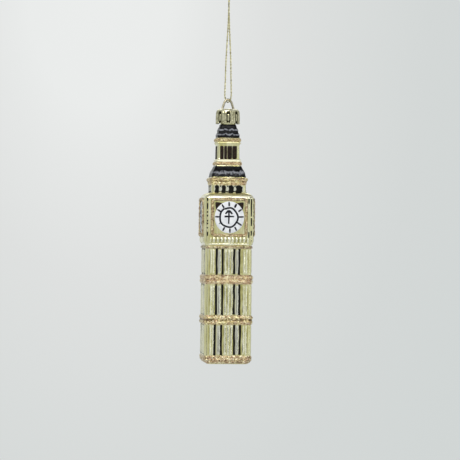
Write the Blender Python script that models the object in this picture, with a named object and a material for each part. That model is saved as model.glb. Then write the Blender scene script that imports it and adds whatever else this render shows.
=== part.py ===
"""Hanging Christmas ornament: a square clock tower blown in silvered glass, on a gold cord loop.

Frame: metres, +Z up, the front clock dial facing -Y. The origin is the point inside the top of the
cord loop where it bears on the hook or twig that the ornament hangs from, on the tower's axis.
Dimensions below are in millimetres. Heights are above the underside of the tower's base.
"""

import math

import bmesh
import bpy
from mathutils import Matrix, Vector

MM = 0.001

# Driving dimensions.
HANG_HEIGHT = 206.5  # from the underside of the base up to the origin
CORNER_STEPS = 4  # facets round each corner of a square section
SHAFT_HALF = 13.0  # half the width of the glass shaft in its lower two storeys
SHAFT_TOP_HALF = 12.8  # and in its top storey
SHAFT_CORNER = 2.0
HOUSE_HALF = 13.9  # half the width of the clock house
HOUSE_CORNER = 2.6
BELFRY_HALF = 9.6
LANTERN_HALF = 6.2
NECK_RADIUS = 5.2
NECK_TOP = 141.0
PAINT_GAP = 0.1  # between the glass and what is laid on it
COAT_THICKNESS = 0.4  # of the black enamel on the roofs
CORD_DIAMETER = 0.9
WIRE_DIAMETER = 1.3

# The glass, from its underside to its rim: (height, half width, corner radius).
FOOT = (
    (0.3, 11.7, 1.8),
    (1.0, 12.3, 1.9),
    (2.2, 12.7, SHAFT_CORNER),
    (3.4, SHAFT_HALF, SHAFT_CORNER),
)
GLASS_OUTSIDE = (
    (0.0, 11.2, 1.7),
    *FOOT,
    (48.6, SHAFT_HALF, SHAFT_CORNER),
    (49.4, SHAFT_TOP_HALF, SHAFT_CORNER),
    (66.0, SHAFT_TOP_HALF, SHAFT_CORNER),
    (66.8, 13.3, 2.3),
    (67.8, 13.7, 2.5),
    (69.2, HOUSE_HALF, HOUSE_CORNER),
    (92.2, HOUSE_HALF, HOUSE_CORNER),
    (93.1, 13.5, HOUSE_CORNER),
    (93.8, 12.9, 2.5),
    (94.5, 11.9, 2.3),
    (95.0, 10.8, 2.0),
    (95.3, BELFRY_HALF, 1.6),
    (103.8, BELFRY_HALF, 1.6),
    (110.3, 7.0, 1.2),
    (113.6, 7.0, 1.2),
    (114.1, LANTERN_HALF, 1.1),
    (121.4, LANTERN_HALF - 0.1, 1.1),
    (122.0, 6.3, 1.1),
    (123.1, 6.9, 1.2),
    (123.5, 6.4, 1.1),
    (125.8, 6.4, 1.1),
    (126.0, 6.1, 1.1),
    (133.6, 4.0, 1.3),
    (134.1, 4.3, 2.8),
    (134.8, NECK_RADIUS, 5.0),
    (NECK_TOP, NECK_RADIUS, 5.0),
)
GLASS_INSIDE = (
    (1.0, 10.3, 1.0),
    (2.2, 11.6, 1.1),
    (3.4, 11.95, 1.2),
    (66.6, 11.75, 1.2),
    (69.2, 13.0, 1.8),
    (92.0, 13.0, 1.8),
    (93.0, 12.2, 1.7),
    (93.9, 10.6, 1.5),
    (94.5, 8.7, 1.2),
    (103.5, 8.7, 1.2),
    (109.9, 6.1, 0.9),
    (113.2, 6.0, 0.9),
    (113.8, 5.3, 0.8),
    (121.4, 5.2, 0.8),
    (122.9, 5.5, 0.8),
    (125.6, 5.2, 0.8),
    (133.4, 3.3, 1.0),
    (134.1, 3.5, 2.4),
    (135.0, 4.4, 4.2),
    (NECK_TOP, 4.4, 4.2),
)

# Glitter rings: name, lowest height, height, half width and corner of the glass under it, profile.
# A profile's points are (share of the ring's height, how far it stands off the glass).
DOUBLE_BEAD = ((0.1, 0.45), (0.27, 0.75), (0.5, 0.45), (0.73, 0.75), (0.9, 0.45))
SINGLE_BEAD = ((0.15, 0.4), (0.5, 0.6), (0.85, 0.4))
EAVES_BEAD = ((0.2, 0.3), (0.45, 0.45), (0.62, 1.0), (0.8, 1.15), (0.93, 0.8))
GLITTER_RINGS = (
    ("glitter_band_low", 21.9, 5.3, SHAFT_HALF, SHAFT_CORNER, DOUBLE_BEAD),
    ("glitter_band_high", 44.4, 5.2, SHAFT_HALF, SHAFT_CORNER, DOUBLE_BEAD),
    ("glitter_cornice", 64.1, 1.6, SHAFT_TOP_HALF, SHAFT_CORNER, SINGLE_BEAD),
    ("glitter_eaves_low", 99.4, 4.3, BELFRY_HALF, 1.6, EAVES_BEAD),
    ("glitter_lantern_sill", 110.5, 2.0, 7.0, 1.2, SINGLE_BEAD),
    ("glitter_eaves_high", 123.6, 2.1, 6.4, 1.1, SINGLE_BEAD),
)
# The foot's ring wraps the rounded lower edge: (height, half width, corner radius) of its outside.
FOOT_RING_TOP = 4.8
FOOT_RING_OUTSIDE = (
    (0.35, 12.2, 2.1),
    (0.9, 12.8, 2.3),
    (1.8, 13.1, 2.4),
    (3.0, 13.35, 2.5),
    (4.2, 13.35, 2.4),
)

# Black roof coats: name and the two glass stations between which the coat lies.
ROOF_COATS = (
    ("roof_coat_low", (103.8, BELFRY_HALF, 1.6), (110.3, 7.0, 1.2)),
    ("roof_coat_high", (126.0, 6.1, 1.1), (133.6, 4.0, 1.3)),
)
COAT_END_GAP = 0.15  # a coat stops this far short of the stations above and below it

# Clock dials and their square frames, on all four faces of the clock house.
DIAL_HEIGHT = 81.5  # of a dial's centre
DIAL_SIZE = (16.4, 17.6)  # across and up; the dials are slightly oval
DIAL_FACETS = 28
DIAL_DOME = ((1.0, 0.0), (1.0, 0.3), (0.93, 0.5), (0.6, 0.65))  # (share of the size, stand-off)
FRAME_OPENING = (17.2, 18.4)
FRAME_BAR = 1.6  # width of the frame's glitter bead
FRAME_STAND = 0.8
FACES = (("front", 0.0), ("right", 90.0), ("back", 180.0), ("left", 270.0))

# The cap: (height, radius) up the inside from the skirt's lip, and up the outside.
CAP_POINTS = 48
CAP_LOBES = 8
CAP_TURN = math.radians(-3.0)
CAP_LIP = 134.1
CAP_SCALLOP = 0.35
CAP_GROOVE = 0.35
CAP_INSIDE = ((CAP_LIP, 6.2), (139.8, 6.15), (141.0, 5.7), (141.6, 4.6))
CAP_OUTSIDE = ((CAP_LIP, 6.85), (135.0, 6.8), (140.0, 6.7), (141.2, 6.3), (141.9, 5.5), (142.2, 4.3))
CAP_FLUTED = 3  # of the outside points, how many carry the grooves
CAP_SLOT = (8.2, 1.9)

# The hanger wire: half of its route as (x, height), from the end of a leg up to the top of the arch.
WIRE_ROUTE = (
    (2.10, 130.6),
    (2.10, 133.0),
    (2.30, 135.5),
    (2.75, 138.0),
    (3.05, 140.3),
    (3.15, 141.6),
    (3.02, 142.6),
    (2.62, 143.9),
    (2.20, 145.2),
    (1.72, 146.3),
    (1.00, 147.2),
    (0.00, 147.5),
)
WIRE_STEP = 1.5

# The cord: half of its route, from the knot down to the middle of its turn under the wire arch. The
# other half is the same, turned half round the axis. The loop twists about a tenth of a turn on its way.
CORD_ROUTE = (
    (0.08, 0.50, 207.6),
    (0.19, 1.25, 206.2),
    (0.24, 1.62, 204.0),
    (0.20, 1.85, 199.0),
    (-0.07, 2.00, 191.0),
    (-0.25, 2.10, 186.5),
    (-0.53, 2.20, 181.0),
    (-0.77, 2.27, 176.0),
    (-1.12, 2.40, 168.0),
    (-1.30, 2.60, 159.0),
    (-1.47, 2.78, 152.1),
    (-1.48, 2.86, 149.9),
    (-1.36, 2.76, 148.7),
    (-1.13, 2.42, 147.6),
    (-0.75, 1.70, 146.65),
    (-0.38, 0.88, 146.25),
    (0.00, 0.00, 146.15),
)
CORD_STEP = 2.3

# The overhand knot, plain: a ball with two short tails.
KNOT_CENTRE = 209.5
KNOT_HALF = (1.45, 1.3, 1.6)
KNOT_TAILS = (
    (Vector((-0.5, 0.1, 209.8)), Vector((-1.1, 0.2, 214.6))),
    (Vector((0.5, -0.1, 209.8)), Vector((1.2, -0.2, 214.0))),
)

COLOURS = {
    "gold_mirror_glass": ((0.78, 0.74, 0.48), 0.12, 1.0),
    "rose_glitter": ((0.80, 0.62, 0.46), 0.45, 0.8),
    "black_enamel": ((0.02, 0.02, 0.025), 0.18, 0.0),
    "white_enamel": ((0.84, 0.84, 0.85), 0.35, 0.0),
    "gold_cap": ((0.80, 0.72, 0.48), 0.25, 1.0),
    "hanger_steel": ((0.62, 0.56, 0.45), 0.3, 1.0),
    "gold_cord": ((0.66, 0.58, 0.32), 0.45, 0.5),
}


def clear_scene():
    for obj in list(bpy.data.objects):
        bpy.data.objects.remove(obj)


def collection(name):
    made = bpy.data.collections.new(name)
    bpy.context.scene.collection.children.link(made)
    return made


def material(name):
    """A Principled material of that name from COLOURS, made once."""
    if name in bpy.data.materials:
        return bpy.data.materials[name]
    colour, roughness, metallic = COLOURS[name]
    made = bpy.data.materials.new(name)
    made.use_nodes = True
    shader = made.node_tree.nodes["Principled BSDF"]
    shader.inputs["Base Color"].default_value = (*colour, 1.0)
    shader.inputs["Roughness"].default_value = roughness
    shader.inputs["Metallic"].default_value = metallic
    return made


def placed(name, data, into, finish, height=0.0):
    """An object for this data, its own zero at this height above the base's underside."""
    obj = bpy.data.objects.new(name, data)
    obj.location.z = (height - HANG_HEIGHT) * MM
    data.materials.clear()
    data.materials.append(material(finish))
    into.objects.link(obj)
    return obj


def loft(name, rings, ring_shaped=False, sharp_degrees=35.0):
    """A closed mesh that skins rings of equally many points, in millimetres. Its two ends are filled,
    or joined to each other where it is ring-shaped."""
    bm = bmesh.new()
    rows = [[bm.verts.new(Vector(point) * MM) for point in ring] for ring in rings]
    pairs = list(zip(rows, rows[1:]))
    if ring_shaped:
        pairs.append((rows[-1], rows[0]))
    else:
        bm.faces.new(rows[0])
        bm.faces.new(rows[-1])
    count = len(rows[0])
    for low, high in pairs:
        for i in range(count):
            j = (i + 1) % count
            bm.faces.new((low[i], low[j], high[j], high[i]))
    bmesh.ops.recalc_face_normals(bm, faces=bm.faces)
    mesh = bpy.data.meshes.new(name)
    bm.to_mesh(mesh)
    bm.free()
    mesh.shade_smooth()
    mesh.set_sharp_from_angle(angle=math.radians(sharp_degrees))
    return mesh


def rounded_square(half, corner, height):
    """The points of a square section with round corners, anticlockwise from above."""
    points = []
    for quarter in range(4):
        turn = quarter * math.pi / 2
        middle = Vector((half - corner, half - corner)).to_3d()
        middle.rotate(Matrix.Rotation(turn, 3, "Z"))
        for step in range(CORNER_STEPS + 1):
            angle = turn + step / CORNER_STEPS * math.pi / 2
            x = middle.x + corner * math.cos(angle)
            y = middle.y + corner * math.sin(angle)
            points.append((x, y, height))
    return points


def make_glass(into):
    inside = [rounded_square(half, corner, height) for height, half, corner in GLASS_INSIDE]
    outside = [rounded_square(half, corner, height) for height, half, corner in GLASS_OUTSIDE]
    mesh = loft("glass_body", inside + outside[::-1])
    placed("glass_body", mesh, into, "gold_mirror_glass")


def ring_over(glass, profile):
    """Sections of a ring laid on the glass: its inner side follows the stations in glass, its outer
    side the profile's (height, half, corner) points from the bottom up."""
    inner = [rounded_square(h + PAINT_GAP, c + PAINT_GAP, z) for z, h, c in glass]
    outer = [rounded_square(h, c, z) for z, h, c in profile]
    return outer + inner[::-1]


def make_glitter_rings(into):
    for name, low, tall, half, corner, profile in GLITTER_RINGS:
        glass = ((low, half, corner), (low + tall, half, corner))
        outside = [(low + share * tall, half + out, corner + out) for share, out in profile]
        mesh = loft(name, ring_over(glass, outside), ring_shaped=True, sharp_degrees=60.0)
        placed(name, mesh, into, "rose_glitter")
    glass = (*FOOT, (FOOT_RING_TOP, SHAFT_HALF, SHAFT_CORNER))
    rings = ring_over(glass, FOOT_RING_OUTSIDE)
    mesh = loft("glitter_base", rings, ring_shaped=True, sharp_degrees=60.0)
    placed("glitter_base", mesh, into, "rose_glitter")


def make_roof_coats(into):
    for name, low, high in ROOF_COATS:
        low_z, low_half, low_corner = low
        high_z, high_half, high_corner = high
        slope = (high_half - low_half) / (high_z - low_z)
        shift = COAT_END_GAP * slope
        glass = (
            (low_z + COAT_END_GAP, low_half + shift, low_corner),
            (high_z - COAT_END_GAP, high_half - shift, high_corner),
        )
        stand = PAINT_GAP + COAT_THICKNESS
        outside = [(z, half + stand, corner + stand) for z, half, corner in glass]
        mesh = loft(name, ring_over(glass, outside), ring_shaped=True)
        placed(name, mesh, into, "black_enamel")


def oval(size, stand_off):
    """A dial's outline at this stand-off from the wall, in the plane of the front face."""
    points = []
    for step in range(DIAL_FACETS):
        angle = 2 * math.pi * step / DIAL_FACETS
        points.append((size[0] / 2 * math.cos(angle), -stand_off, size[1] / 2 * math.sin(angle)))
    return points


def frame_outline(grow, stand_off):
    """The square frame's outline, grown outwards from its opening."""
    across = FRAME_OPENING[0] / 2 + grow
    up = FRAME_OPENING[1] / 2 + grow
    return [(x * across, -stand_off, z * up) for x, z in ((1, 1), (-1, 1), (-1, -1), (1, -1))]


def make_dials(into):
    domes = [
        oval((DIAL_SIZE[0] * share, DIAL_SIZE[1] * share), PAINT_GAP + out) for share, out in DIAL_DOME
    ]
    dial = loft("dial", domes)
    bead = [
        frame_outline(0.0, PAINT_GAP),
        frame_outline(0.1 * FRAME_BAR, 0.6 * FRAME_STAND),
        frame_outline(0.5 * FRAME_BAR, FRAME_STAND),
        frame_outline(0.9 * FRAME_BAR, 0.6 * FRAME_STAND),
        frame_outline(FRAME_BAR, PAINT_GAP),
    ]
    frame = loft("dial_frame", bead, ring_shaped=True, sharp_degrees=60.0)
    for side, degrees in FACES:
        turn = math.radians(degrees)
        for name, mesh, finish in (("dial_", dial, "white_enamel"), ("dial_frame_", frame, "rose_glitter")):
            obj = placed(name + side, mesh, into, finish, DIAL_HEIGHT)
            obj.location.x = HOUSE_HALF * math.sin(turn) * MM
            obj.location.y = -HOUSE_HALF * math.cos(turn) * MM
            obj.rotation_euler.z = turn


def make_cap(into, cutters):
    def circle(radius, height, groove=0.0, scallop=0.0):
        points = []
        for step in range(CAP_POINTS):
            angle = CAP_TURN + 2 * math.pi * step / CAP_POINTS
            wave = math.cos(CAP_LOBES * (angle - CAP_TURN))
            in_groove = step % (CAP_POINTS // CAP_LOBES) == 0
            r = radius - groove * in_groove
            points.append((r * math.sin(angle), -r * math.cos(angle), height + scallop * wave))
        return points

    inside = [circle(r, z, 0.0, CAP_SCALLOP * (z == CAP_LIP)) for z, r in CAP_INSIDE]
    outside = [
        circle(r, z, CAP_GROOVE * (i < CAP_FLUTED), CAP_SCALLOP * (z == CAP_LIP))
        for i, (z, r) in enumerate(CAP_OUTSIDE)
    ]
    mesh = loft("cap_crown", inside[::-1] + outside, sharp_degrees=25.0)
    cap = placed("cap_crown", mesh, into, "gold_cap")
    top = CAP_OUTSIDE[-1][0]
    bm = bmesh.new()
    bmesh.ops.create_cube(bm, size=1.0)
    bmesh.ops.scale(bm, vec=Vector((CAP_SLOT[0], CAP_SLOT[1], 4.0)) * MM, verts=bm.verts)
    mesh = bpy.data.meshes.new("cap_slot")
    bm.to_mesh(mesh)
    bm.free()
    cutter = placed("cap_slot", mesh, cutters, "gold_cap", top)
    cutter.hide_render = True
    cutter.display_type = "WIRE"
    cut = cap.modifiers.new("slot", "BOOLEAN")
    cut.object = cutter
    cut.operation = "DIFFERENCE"
    cut.solver = "EXACT"


def smooth_route(points, step):
    """Points no further apart than step on a smooth curve through these points (Catmull-Rom)."""
    points = [Vector(point) for point in points]
    ends = [2 * points[0] - points[1]] + points + [2 * points[-1] - points[-2]]
    made = []
    for before, start, end, after in zip(ends, ends[1:], ends[2:], ends[3:]):
        pieces = max(1, math.ceil((end - start).length / step))
        for i in range(pieces):
            t = i / pieces
            drift = (end - before) * t + (2 * before - 5 * start + 4 * end - after) * t * t
            bend = (3 * start - before - 3 * end + after) * t * t * t
            made.append(start + (drift + bend) / 2)
    return made + [points[-1]]


def tube(name, route, diameter, into, finish):
    """A curve object along these points, round in section, its ends filled."""
    curve = bpy.data.curves.new(name, "CURVE")
    curve.dimensions = "3D"
    curve.bevel_depth = diameter / 2 * MM
    curve.bevel_resolution = 2
    curve.use_fill_caps = True
    spline = curve.splines.new("POLY")
    spline.points.add(len(route) - 1)
    for point, place in zip(spline.points, route):
        point.co = (place * MM).to_4d()
    placed(name, curve, into, finish)


def make_wire(into):
    half = [(x, 0.0, height) for x, height in WIRE_ROUTE]
    other = [(-x, 0.0, height) for x, height in WIRE_ROUTE[-2::-1]]
    tube("hanger_wire", smooth_route(half + other, WIRE_STEP), WIRE_DIAMETER, into, "hanger_steel")


def make_cord(into):
    other = [(-x, -y, height) for x, y, height in CORD_ROUTE[-2::-1]]
    route = smooth_route(list(CORD_ROUTE) + other, CORD_STEP)
    tube("hanging_cord", route, CORD_DIAMETER, into, "gold_cord")


def make_knot(into, cutters):
    bm = bmesh.new()
    bmesh.ops.create_uvsphere(bm, u_segments=12, v_segments=8, radius=MM)
    bmesh.ops.scale(bm, vec=Vector(KNOT_HALF), verts=bm.verts)
    mesh = bpy.data.meshes.new("cord_knot")
    bm.to_mesh(mesh)
    bm.free()
    knot = placed("cord_knot", mesh, into, "gold_cord", KNOT_CENTRE)
    for number, (root, tip) in enumerate(KNOT_TAILS):
        along = tip - root
        middle = (root + tip) / 2
        bm = bmesh.new()
        turn = along.to_track_quat("Z", "Y").to_matrix().to_4x4()
        bmesh.ops.create_cone(
            bm, cap_ends=True, segments=8, radius1=CORD_DIAMETER / 2 * MM,
            radius2=CORD_DIAMETER / 2 * MM, depth=along.length * MM,
            matrix=Matrix.Translation(Vector((middle.x, middle.y, 0.0)) * MM) @ turn,
        )
        mesh = bpy.data.meshes.new(f"knot_tail_{number}")
        bm.to_mesh(mesh)
        bm.free()
        tail = placed(f"knot_tail_{number}", mesh, cutters, "gold_cord", middle.z)
        tail.hide_render = True
        tail.display_type = "WIRE"
        join = knot.modifiers.new(f"tail {number}", "BOOLEAN")
        join.object = tail
        join.operation = "UNION"
        join.solver = "EXACT"


def main():
    clear_scene()
    ornament = collection("clock_tower_ornament")
    cutters = collection("cutters")
    make_glass(ornament)
    make_glitter_rings(ornament)
    make_roof_coats(ornament)
    make_dials(ornament)
    make_cap(ornament, cutters)
    make_wire(ornament)
    make_cord(ornament)
    make_knot(ornament, cutters)


main()
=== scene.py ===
"""Looks of the glass clock tower ornament. Lengths are in millimetres until place() turns them into metres,
and the studio's are in metres. Heights are above the underside of the tower's base, and the front dial
faces -Y."""

import functools
import math
import random

import bmesh
import bpy
import numpy as np
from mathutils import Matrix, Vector


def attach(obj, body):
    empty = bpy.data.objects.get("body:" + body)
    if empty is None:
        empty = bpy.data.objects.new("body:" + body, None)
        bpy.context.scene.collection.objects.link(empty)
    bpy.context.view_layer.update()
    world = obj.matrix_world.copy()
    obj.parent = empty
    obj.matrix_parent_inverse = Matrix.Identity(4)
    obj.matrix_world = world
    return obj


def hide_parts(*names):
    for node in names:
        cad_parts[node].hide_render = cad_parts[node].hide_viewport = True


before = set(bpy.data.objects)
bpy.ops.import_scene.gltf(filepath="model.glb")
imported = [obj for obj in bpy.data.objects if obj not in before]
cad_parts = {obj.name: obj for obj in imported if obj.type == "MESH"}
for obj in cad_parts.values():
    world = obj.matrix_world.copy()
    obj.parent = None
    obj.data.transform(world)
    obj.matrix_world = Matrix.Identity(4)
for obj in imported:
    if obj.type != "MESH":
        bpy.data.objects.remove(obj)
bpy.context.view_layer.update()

MM = 0.001
HANG_HEIGHT = 206.5  # from the underside of the base up to the origin

# Repeated from the model, the glass's outside from foot to rim: (height, half width, corner radius).
GLASS_OUTSIDE = (
    (0.0, 11.2, 1.7), (0.3, 11.7, 1.8), (1.0, 12.3, 1.9), (2.2, 12.7, 2.0), (3.4, 13.0, 2.0),
    (48.6, 13.0, 2.0), (49.4, 12.8, 2.0), (66.0, 12.8, 2.0), (66.8, 13.3, 2.3), (67.8, 13.7, 2.5),
    (69.2, 13.9, 2.6), (92.2, 13.9, 2.6), (93.1, 13.5, 2.6), (93.8, 12.9, 2.5), (94.5, 11.9, 2.3),
    (95.0, 10.8, 2.0), (95.3, 9.6, 1.6), (103.8, 9.6, 1.6), (110.3, 7.0, 1.2), (113.6, 7.0, 1.2),
    (114.1, 6.2, 1.1), (121.4, 6.1, 1.1), (122.0, 6.3, 1.1), (123.1, 6.9, 1.2), (123.5, 6.4, 1.1),
    (125.8, 6.4, 1.1), (126.0, 6.1, 1.1), (133.6, 4.0, 1.3), (134.1, 4.3, 2.8), (134.8, 5.2, 5.0),
    (141.0, 5.2, 5.0),
)
# The same for the inside of the neck, from its rim down to a floor out of sight.
NECK_INSIDE = (
    (141.0, 4.4, 4.2), (135.0, 4.4, 4.2), (134.1, 3.5, 2.4), (133.4, 3.3, 1.0), (127.0, 4.6, 0.8),
)

# Sections of the glitter rings: (share of the ring's height, how far it stands off the glass).
DOUBLE_BEAD = ((0.0, 0.1), (0.1, 0.5), (0.27, 0.85), (0.5, 0.4), (0.73, 0.85), (0.9, 0.5), (1.0, 0.1))
SINGLE_BEAD = ((0.0, 0.1), (0.15, 0.45), (0.5, 0.65), (0.85, 0.45), (1.0, 0.1))
EAVES_BEAD = ((0.0, 0.1), (0.2, 0.35), (0.45, 0.5), (0.62, 1.05), (0.8, 1.2), (0.93, 0.85), (1.0, 0.1))
FOOT_BEAD = ((0.0, 0.05), (0.1, 0.25), (0.3, 0.3), (0.45, 0.75), (0.6, 0.35), (0.8, 0.5), (1.0, 0.1))
GLITTER_RINGS = (  # name, lowest height, height, section
    ("glitter_base", 0.35, 4.45, FOOT_BEAD), ("glitter_band_low", 21.9, 5.3, DOUBLE_BEAD),
    ("glitter_band_high", 44.4, 5.2, DOUBLE_BEAD), ("glitter_cornice", 64.1, 1.6, SINGLE_BEAD),
    ("glitter_eaves_low", 99.4, 4.3, EAVES_BEAD), ("glitter_lantern_sill", 110.5, 2.0, SINGLE_BEAD),
    ("glitter_eaves_high", 123.6, 2.1, SINGLE_BEAD),
)
# Roof coats: name, lowest and highest height, width of a tile, heights of the tiles' crests, how far
# a crest spreads up and down, and how strong the painted grey highlight along its crests is.
ROOF_COATS = (
    ("roof_coat_low", 103.95, 110.15, 5.1, (107.0,), 1.4, 0.86),
    ("roof_coat_high", 126.15, 133.45, 3.8, (128.4, 131.0), 0.65, 1.0),
)
FACES = ("front", "right", "back", "left")
HOUSE_HALF = 13.9  # half the width of the clock house
DIAL_HEIGHT = 81.5  # of the dials' middles
DIAL_HALF = (8.2, 8.8)  # half a dial's width and height
FRAME_MIDDLE = (9.4, 10.0)  # half sizes of the line that a frame's bead follows
FRAME_BAR = 0.9  # half the width of that bead
WIRE_RADIUS = 0.65
WIRE_ROUTE = (  # half of it: (x, height)
    (2.10, 130.6), (2.10, 133.0), (2.30, 135.5), (2.75, 138.0), (3.05, 140.3), (3.15, 141.6),
    (3.02, 142.6), (2.62, 143.9), (2.20, 145.2), (1.72, 146.3), (1.00, 147.2), (0.00, 147.5),
)
CORD_ROUTE = (  # half of it: (x, y, height)
    (0.08, 0.50, 207.6), (0.19, 1.25, 206.2), (0.24, 1.62, 204.0), (0.20, 1.85, 199.0),
    (-0.07, 2.00, 191.0), (-0.25, 2.10, 186.5), (-0.53, 2.20, 181.0), (-0.77, 2.27, 176.0),
    (-1.12, 2.40, 168.0), (-1.30, 2.60, 159.0), (-1.47, 2.78, 152.1), (-1.48, 2.86, 149.9),
    (-1.36, 2.76, 148.7), (-1.13, 2.42, 147.6), (-0.75, 1.70, 146.65), (-0.38, 0.88, 146.25),
    (0.00, 0.00, 146.15),
)
KNOT_CENTRE = 209.5
KNOT_STEPS = 96
KNOT_TAILS = (((-0.5, 0.1, 209.8), (-1.1, 0.2, 214.6)), ((0.5, -0.1, 209.8), (1.2, -0.2, 214.0)))

# Where the camera stands and what it takes in.
VIEW_AZIMUTH = math.radians(-6.2)
VIEW_DISTANCE = 1300.0
VIEW_WIDTH = 257.6  # seen across the frame at the object
VIEW_HEIGHT = 74.5  # of the middle of the frame
VIEW_SIDE = 1.9  # the object's axis stands this far left of the middle of the frame
VIEW_ROLL = math.radians(-0.6)
SENSOR_WIDTH = 36.0


def place(x, y, height):
    return (x * MM, y * MM, (height - HANG_HEIGHT) * MM)


def aim_camera():
    camera = bpy.data.objects.new("camera", bpy.data.cameras.new("camera"))
    bpy.context.scene.collection.objects.link(camera)
    right = Vector((math.cos(VIEW_AZIMUTH), math.sin(VIEW_AZIMUTH), 0))
    back = Vector((math.sin(VIEW_AZIMUTH), -math.cos(VIEW_AZIMUTH), 0))
    aim = Vector(place(0, 0, VIEW_HEIGHT)) + right * VIEW_SIDE * MM
    camera.location = aim + back * VIEW_DISTANCE * MM
    camera.rotation_mode = "QUATERNION"
    leaning = right * math.sin(VIEW_ROLL) + Vector((0, 0, math.cos(VIEW_ROLL)))
    roll = Vector((0, 0, 1)).rotation_difference(leaning)
    camera.rotation_quaternion = roll @ back.to_track_quat("Z", "Y")
    camera.data.sensor_width = SENSOR_WIDTH
    camera.data.lens = SENSOR_WIDTH * VIEW_DISTANCE / VIEW_WIDTH
    camera.data.clip_end = 50.0
    bpy.context.scene.camera = camera


# ---- materials -------------------------------------------------------------------------------

def node(tree, kind, **values):
    made = tree.nodes.new(kind)
    for key, value in values.items():
        if key in made.inputs:
            made.inputs[key].default_value = value
        else:
            setattr(made, key, value)
    return made


def finish_of(name, roughness, metallic, coat=0.0):
    """A new material: its tree, its shader, and the object coordinates its patterns use."""
    made = bpy.data.materials.new(name)
    made.use_nodes = True
    tree = made.node_tree
    shader = tree.nodes["Principled BSDF"]
    shader.inputs["Roughness"].default_value = roughness
    shader.inputs["Metallic"].default_value = metallic
    shader.inputs["Coat Weight"].default_value = coat
    return made, tree, shader, tree.nodes.new("ShaderNodeTexCoord").outputs["Object"]


def ramp(tree, source, stops):
    made = tree.nodes.new("ShaderNodeValToRGB")
    for i, (at, colour) in enumerate(stops):
        stop = made.color_ramp.elements[i] if i < 2 else made.color_ramp.elements.new(at)
        stop.position = at
        stop.color = (*colour, 1.0)
    tree.links.new(source, made.inputs[0])
    return made.outputs[0]


def add_bump(tree, shader, source, depth_mm, strength):
    made = node(tree, "ShaderNodeBump", Distance=depth_mm * MM, Strength=strength)
    tree.links.new(source, made.inputs["Height"])
    tree.links.new(made.outputs[0], shader.inputs["Normal"])


def noise_of(tree, coords, size_mm):
    made = node(tree, "ShaderNodeTexNoise", Scale=1 / (size_mm * MM), Detail=2.0)
    tree.links.new(coords, made.inputs["Vector"])
    return made.outputs[0]


def value_of(tree, attribute):
    """The value of a point attribute."""
    return node(tree, "ShaderNodeAttribute", attribute_name=attribute).outputs["Fac"]


def scaled(tree, source, factor, plus):
    """source times factor, plus a number or another socket."""
    made = node(tree, "ShaderNodeMath", operation="MULTIPLY_ADD")
    tree.links.new(source, made.inputs[0])
    made.inputs[1].default_value = factor
    if isinstance(plus, float):
        made.inputs[2].default_value = plus
    else:
        tree.links.new(plus, made.inputs[2])
    return made.outputs[0]


def multiplied(tree, colour, by, factor=1.0):
    """colour times another colour, by as much as factor says."""
    made = node(tree, "ShaderNodeMix", data_type="RGBA", blend_type="MULTIPLY")
    made.inputs["Factor"].default_value = factor
    tree.links.new(colour, made.inputs["A"])
    tree.links.new(by, made.inputs["B"])
    return made.outputs["Result"]


FLAKE_SIZE = 0.6  # of a flake of glitter
PATCH_SIZE = 1.8  # of the glitter's warmer and paler patches


def glitter_material(name, deep, warm, pale):
    """Flakes of glitter in glue; deep, warm and pale are its colours, which vary at random from flake to
    flake. The point attribute crown paints shade into the hollows between beads and light onto their tops.
    """
    made, tree, shader, coords = finish_of(name, 0.36, 0.7, 0.3)
    cells = node(tree, "ShaderNodeTexVoronoi", Scale=1 / (FLAKE_SIZE * MM))
    tree.links.new(coords, cells.inputs["Vector"])
    tone = ramp(tree, cells.outputs["Color"], (
        (0.05, deep), (0.25, warm), (0.6, pale), (0.9, (1.0, 0.98, 0.86))))
    patches = ramp(tree, noise_of(tree, coords, PATCH_SIZE), (
        (0.38, (0.62, 0.45, 0.36)), (0.60, (1.0, 0.98, 0.80))))
    # painted shade and light: dark where crown is low, between the beads, and pale where it is high, on
    # their tops
    hollows = ramp(tree, value_of(tree, "crown"), (
        (0.1, (0.22, 0.18, 0.13)), (0.5, (0.74, 0.70, 0.64)), (0.85, (1.0, 1.0, 0.98))))
    shown = multiplied(tree, multiplied(tree, tone, patches, 0.8), hollows)
    tree.links.new(shown, shader.inputs["Base Color"])
    add_bump(tree, shader, cells.outputs["Distance"], 0.2, 0.7)
    return made


def streaked(tree, coords, across_mm, along_mm):
    """Noise drawn out along the tower's height."""
    stretch = node(tree, "ShaderNodeMapping")
    stretch.inputs["Scale"].default_value = (1, 1, across_mm / along_mm)
    tree.links.new(coords, stretch.inputs["Vector"])
    return noise_of(tree, stretch.outputs[0], across_mm)


GLASS_ROUGHNESS = 0.17
DULL_ROUGHNESS = 0.5  # where the lacquer is rubbed
# the grey of a painted reflection of the pale surroundings
REFLECTION_GREY = (0.74, 0.73, 0.64)


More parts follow.
